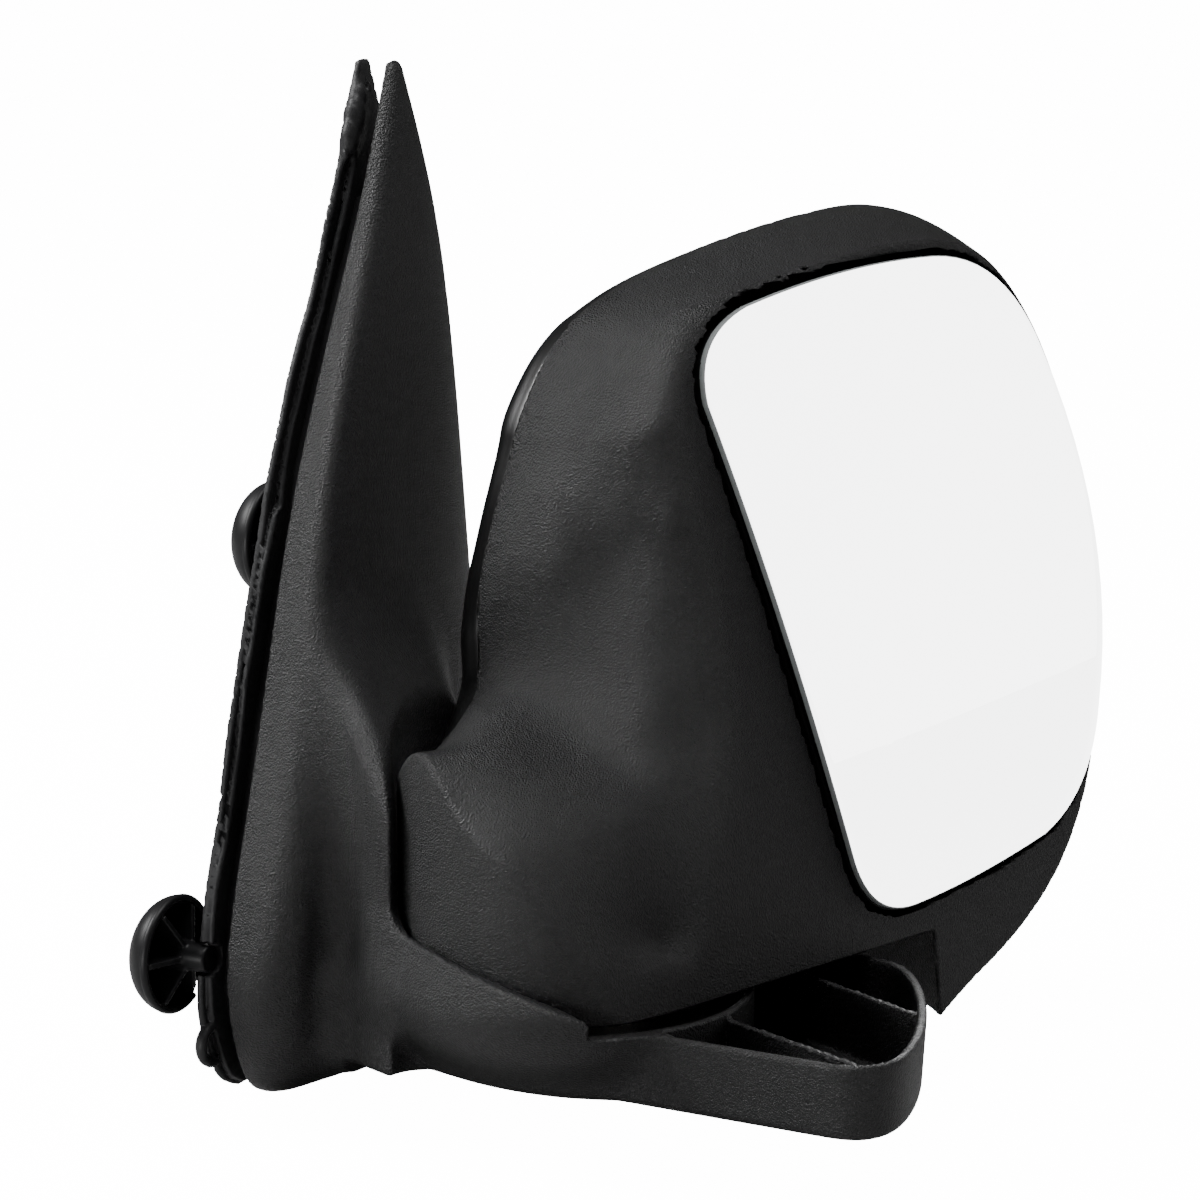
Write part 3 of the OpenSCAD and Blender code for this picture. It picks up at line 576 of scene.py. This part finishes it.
BLACK = (0.0032, 0.0032, 0.0034)
GRAIN = material("grained_black", BLACK, 0.42, build=grained(0.00065, 0.0004, BLACK, 0.33), spec=0.42)
SATIN = material("satin_black", BLACK, 0.36, build=satin((0.003, 0.003, 0.0032), 0.32), spec=0.4)
FRAME = material("frame_black", BLACK, 0.5, build=satin((0.006, 0.006, 0.0065), 0.5), spec=0.25)
FOAM = material("foam_black", BLACK, 0.5, build=foam, spec=0.25)
PLUG = material("plug_black", BLACK, 0.4, build=satin((0.005, 0.005, 0.0055), 0.42), spec=0.2)
PLATE = material("plate_metal", (0.03, 0.03, 0.032), 0.5, build=brushed(300, 0.45, 0.6))
ZINC = material("zinc_steel", (0.6, 0.59, 0.55), 0.35, 1.0, brushed(500, 0.3, 0.45))
SPRING = material("spring_steel", (0.2, 0.2, 0.21), 0.35, 1.0, brushed(700, 0.25, 0.42))
MIRROR = material("mirror_face", (0.95, 0.95, 0.95), 0.0, 1.0, silvered)
EDGE = material("ground_edge", (0.3, 0.32, 0.32), 0.3, 0.0, brushed(800, 0.25, 0.4))


def finish_with(obj, *materials):
    obj.data.materials.clear()
    for m in materials:
        obj.data.materials.append(m)


# ---------------------------------------------------------------- pieces
bezel = skin("bezel_shell", bezel_field, (-62, -56, -40), (242, 42, 226), 1.45, from_head)
finish_with(bezel, GRAIN)
back = skin("front_cover", back_field, (-62, 26, -40), (242, 60, 226), 1.35, from_head)
finish_with(back, SATIN)
foot = skin("foot_moulding", foot_field, (8, -12, -54), (238, 134, 286), 1.5, as_is)
finish_with(foot, GRAIN)
for piece, body, node, slot in (
    (bezel, "head", "head_bezel", "grained_black"),
    (back, "head", "head_back_shell", "satin_black"),
    (foot, "foot", "foot_cover", "grained_black"),
):
    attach(piece, body)
    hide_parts(node)

CARRIED = {
    "base_plate": FRAME, "plate_screws": ZINC, "mounting_studs": ZINC,
    "pivot_post": ZINC, "post_screws": ZINC,
    "fixed_detent_ring": ZINC, "pivot_spring": SPRING, "spring_retainer": ZINC, "spring_seat": FRAME,
    "moving_detent_ring": ZINC, "head_frame": FRAME, "bezel_screws": ZINC, "shell_screws": ZINC,
    "frame_ball_stud": ZINC, "gimbal_ring": FRAME, "glass_holder": FRAME, "glass_pad": FOAM,
}
for node, m in CARRIED.items():
    finish_with(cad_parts[node], m)


def wave(t, a, b, c):
    """Uneven ripple between about -1 and 1."""
    return 0.62 * np.sin(t / a) + 0.3 * np.sin(t / b + 1.3) + 0.08 * np.sin(t / c + 4.1)


def gasket_field(x, y, z):
    """Two loose foam layers, the outer one stepped, with a folded top end and a curled tail."""
    edge = SAIL.read(y, z)
    along = z + 0.35 * y
    under = both(edge + 0.6 + 1.0 * wave(along, 17, 7.3, 3.1), np.abs(x - 1.35 - 0.3 * wave(along, 23, 9, 5)) - 1.25, 0.8)
    step = 2.4 * smooth((z - 138) / 3)
    over = both(edge + 1.7 + step + 1.0 * wave(along + 40, 13, 6.1, 2.7), np.abs(x - 3.9 - 0.5 * wave(along, 19, 8, 3.7)) - 1.15, 0.8)
    solid = either(under, over, 0.25)
    rear = table(z, SAIL_REAR)
    bend_over = 0.35 * wave(z * 2.0 + y * 3, 4.3, 2.1, 1.3)
    fold = np.sqrt(((x - 3.4) / 3.4) ** 2 + ((y - rear - 1.5) / 4.6) ** 2 + ((z - 259) / 12.0) ** 2)
    solid = either(solid, (fold - 1) * 3.4 + bend_over, 1.5)
    curl = np.sqrt((y - 2) ** 2 + (z + 29) ** 2)
    tail = np.sqrt((curl - 5.6 - 0.3 * (x - 2)) ** 2 + ((x - 2.2) * 0.8) ** 2) - 1.9
    solid = either(solid, both(tail, y - 4, 0.5), 0.8)
    for py, pz, r in GASKET_HOLES:
        solid = without(solid, np.sqrt((y - py) ** 2 + (z - pz) ** 2) - r, 0.3)
    return solid


STUDS = [(60, -24), (108, -24), (104, 150)]
PLUGS = {"lower_plug": (0, 0), "upper_plug": (63, 125)}
GASKET_HOLES = [(y, z, 3.9) for y, z in STUDS] + [(y, z, 5.2) for y, z in PLUGS.values()]
PLUG_R = 19.3
PLUG_RIM_X = -9.0
PLUG_TIP_X = -22.0


def plug_field(y0, z0):
    """Domed shell on a hub, six radial ribs in its open side and a notch in its rim."""

    def field(x, y, z):
        dy, dz = y - y0, z - z0
        r = np.sqrt(dy * dy + dz * dz)
        turn = np.arctan2(dz, dy)
        deep = PLUG_RIM_X - PLUG_TIP_X
        outer = (np.sqrt(((x - PLUG_RIM_X) / deep) ** 2 + (r / PLUG_R) ** 2) - 1) * deep
        inner = (np.sqrt(((x - PLUG_RIM_X) / (deep - 2)) ** 2 + (r / (PLUG_R - 2.2)) ** 2) - 1) * (deep - 2)
        shell = without(outer, inner, 0.3)
        bead = np.sqrt((r - PLUG_R + 1.1) ** 2 + (x - PLUG_RIM_X) ** 2) - 1.3
        shell = either(both(shell, x - PLUG_RIM_X, 0.5), bead, 0.4)
        hub = both(r - 4.5 - 0.05 * (PLUG_RIM_X + 9 - x), np.abs(x + 8) - 11.9, 0.8)
        sixth = math.pi / 3
        swing = np.abs((turn + sixth / 2) % sixth - sixth / 2) * r
        ribs = both(swing - 0.95, x + 3.5 + (r - 4) * 0.32, 0.4)
        ribs = both(ribs, np.maximum(outer + 0.8, r - PLUG_R + 2.6), 0.3)
        solid = either(either(shell, hub, 1.2), ribs, 0.7)
        notch = both(np.abs(turn + 0.9) * r - 2.6, PLUG_RIM_X - 5 - x, 0.5)
        return without(solid, both(notch, PLUG_R - 4.2 - r, 0.5), 0.4)

    return field


def glass_piece():
    """Convex glass slab with a ground and faintly bevelled edge."""
    edge = PANE[::2]
    out = (edge - GLASS_MIDDLE)
    shrink = 1 - 0.5 / np.linalg.norm(out, axis=1)[:, None]
    rings = [(f, GLASS_TOP) for f in np.linspace(0.04, 0.996, 26)]
    rings += [(1.0, GLASS_TOP - 0.35), (1.0, GLASS_TOP - GLASS_THICK), (0.5, GLASS_TOP - GLASS_THICK),
              (0.04, GLASS_TOP - GLASS_THICK)]
    n = len(edge)
    points = []
    for f, top in rings:
        flat = GLASS_MIDDLE + out * shrink * f
        r2 = ((flat - GLASS_MIDDLE) ** 2).sum(1)
        rise = top - r2 / (2 * GLASS_CURVE_R)
        u, up = flat[:, 0], flat[:, 1]
        points.append(np.stack([
            u,
            up * math.sin(LEAN) - rise * math.cos(LEAN) - GLASS_BACK,
            up * math.cos(LEAN) + rise * math.sin(LEAN),
        ], 1))
    faces, slots = [], []
    for j in range(len(rings) - 1):
        for i in range(n):
            k = (i + 1) % n
            faces.append((j * n + i, (j + 1) * n + i, (j + 1) * n + k, j * n + k))
            slots.append(0 if rings[j + 1][1] == GLASS_TOP else 1)
    last = (len(rings) - 1) * n
    faces += [tuple(range(n)), tuple(last + i for i in range(n - 1, -1, -1))]
    slots += [0, 1]
    corners = np.concatenate([np.array(f) for f in faces])
    obj = mesh_of("glass_pane", from_head(np.vstack(points)) * MM, corners, np.array([len(f) for f in faces]))
    finish_with(obj, MIRROR, EDGE)
    for polygon, slot in zip(obj.data.polygons, slots):
        polygon.material_index = slot
        polygon.use_smooth = slot == 0
    return obj


gasket = skin("foam_gasket", gasket_field, (-2, -10, -54), (10, 134, 278), 1.1, as_is, 0.15)
finish_with(gasket, FOAM)
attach(gasket, "foot")
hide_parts("door_gasket")
for name, (py, pz) in PLUGS.items():
    low, high = (PLUG_TIP_X - 2, py - 22, pz - 22), (6, py + 22, pz + 22)
    plug = skin("ribbed_" + name, plug_field(py, pz), low, high, 0.6, as_is)
    finish_with(plug, PLUG)
    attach(plug, "foot")
    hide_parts(name.replace("_plug", "_locating_plug"))

glass = glass_piece()
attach(glass, "glass")
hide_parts("mirror_glass")


# ---------------------------------------------------------------- stage, light and camera
def aim(obj, at):
    obj.rotation_mode = "QUATERNION"
    obj.rotation_quaternion = (Vector(at) - obj.location).to_track_quat("-Z", "Y")


def softbox(name, place, at, size, watts, size_y=None):
    data = bpy.data.lights.new(name, "AREA")
    data.shape = "RECTANGLE"
    data.size, data.size_y, data.energy = size, size_y or size, watts
    lamp = bpy.data.objects.new(name, data)
    lamp.location = place
    bpy.context.scene.collection.objects.link(lamp)
    aim(lamp, at)
    return lamp


def seen_directly(n, l):
    """Brightness of the bare white surround, which only the camera and a perfect mirror see."""
    path = n.new("ShaderNodeLightPath")
    mirrored = math_node(n, l, "MULTIPLY", path.outputs["Is Singular Ray"], SURROUND_IN_GLASS)
    return math_node(n, l, "MULTIPLY_ADD", path.outputs["Is Camera Ray"], SURROUND, mirrored)


def matt_paper(n, l, p):
    t = noise(n, l, 3, 2)
    l.new(ramp(n, l, t.outputs["Fac"], [(0.3, 0.44), (0.7, 0.46)]), p.inputs["Base Color"])
    p.inputs["Emission Color"].default_value = (1, 1, 1, 1)
    l.new(seen_directly(n, l), p.inputs["Emission Strength"])


def stage_floor():
    mesh = bpy.data.meshes.new("floor")
    z, s = -0.056, 6.0
    mesh.from_pydata([(-s, -s, z), (s, -s, z), (s, s, z), (-s, s, z)], [], [(0, 1, 2, 3)])
    obj = bpy.data.objects.new("floor", mesh)
    bpy.context.scene.collection.objects.link(obj)
    obj.data.materials.append(material("pale_floor", (0.45, 0.45, 0.45), 0.9, build=matt_paper, spec=0.1))


def studio():
    """Even dim fill, a brighter wall on the outboard side, and the white surround for the camera."""
    world = bpy.data.worlds.new("studio")
    bpy.context.scene.world = world
    world.use_nodes = True
    n, l = world.node_tree.nodes, world.node_tree.links
    back = n["Background"]
    facing = n.new("ShaderNodeVectorMath")
    facing.operation = "DOT_PRODUCT"
    l.new(n.new("ShaderNodeTexCoord").outputs["Generated"], facing.inputs[0])
    facing.inputs[1].default_value = WALL_DIRECTION
    wall = n.new("ShaderNodeMapRange")
    wall.interpolation_type = "SMOOTHSTEP"
    for slot, value in (("From Min", 0.6), ("From Max", 0.95), ("To Min", FILL), ("To Max", WALL_LIGHT)):
        wall.inputs[slot].default_value = value
    l.new(facing.outputs["Value"], wall.inputs["Value"])
    l.new(math_node(n, l, "ADD", wall.outputs["Result"], seen_directly(n, l)), back.inputs["Strength"])
    back.inputs["Color"].default_value = (1, 1, 1, 1)


SURROUND = 15.0
SURROUND_IN_GLASS = 5.6
FILL = 0.08
WALL_LIGHT = 0.8
WALL_DIRECTION = (0.857, 0.495, 0.14)
stage_floor()
studio()
MIDDLE = (0.12, 0.1, 0.1)
softbox("left_light", (-1.24, -0.42, 1.2), MIDDLE, 0.7, 52, 0.8)
softbox("low_light", (-0.41, -1.16, 0.04), MIDDLE, 0.6, 8, 0.15)
softbox("top_light", (0.12, 0.06, 1.7), MIDDLE, 0.9, 22)

AZIMUTH, ELEVATION, DISTANCE = math.radians(29), math.radians(12.5), 1.5
camera_back = Vector((math.sin(AZIMUTH) * math.cos(ELEVATION), -math.cos(AZIMUTH) * math.cos(ELEVATION), math.sin(ELEVATION)))
camera_right = Vector((math.cos(AZIMUTH), math.sin(AZIMUTH), 0))
camera_up = camera_back.cross(camera_right)
camera_data = bpy.data.cameras.new("camera")
camera_data.sensor_width = 36
camera_data.lens = 140.4
camera = bpy.data.objects.new("camera", camera_data)
camera.location = 0.1282 * camera_right + 0.1147 * camera_up + DISTANCE * camera_back
camera.rotation_mode = "QUATERNION"
camera.rotation_quaternion = (-camera_back).to_track_quat("-Z", "Y")
bpy.context.scene.collection.objects.link(camera)
bpy.context.scene.camera = camera
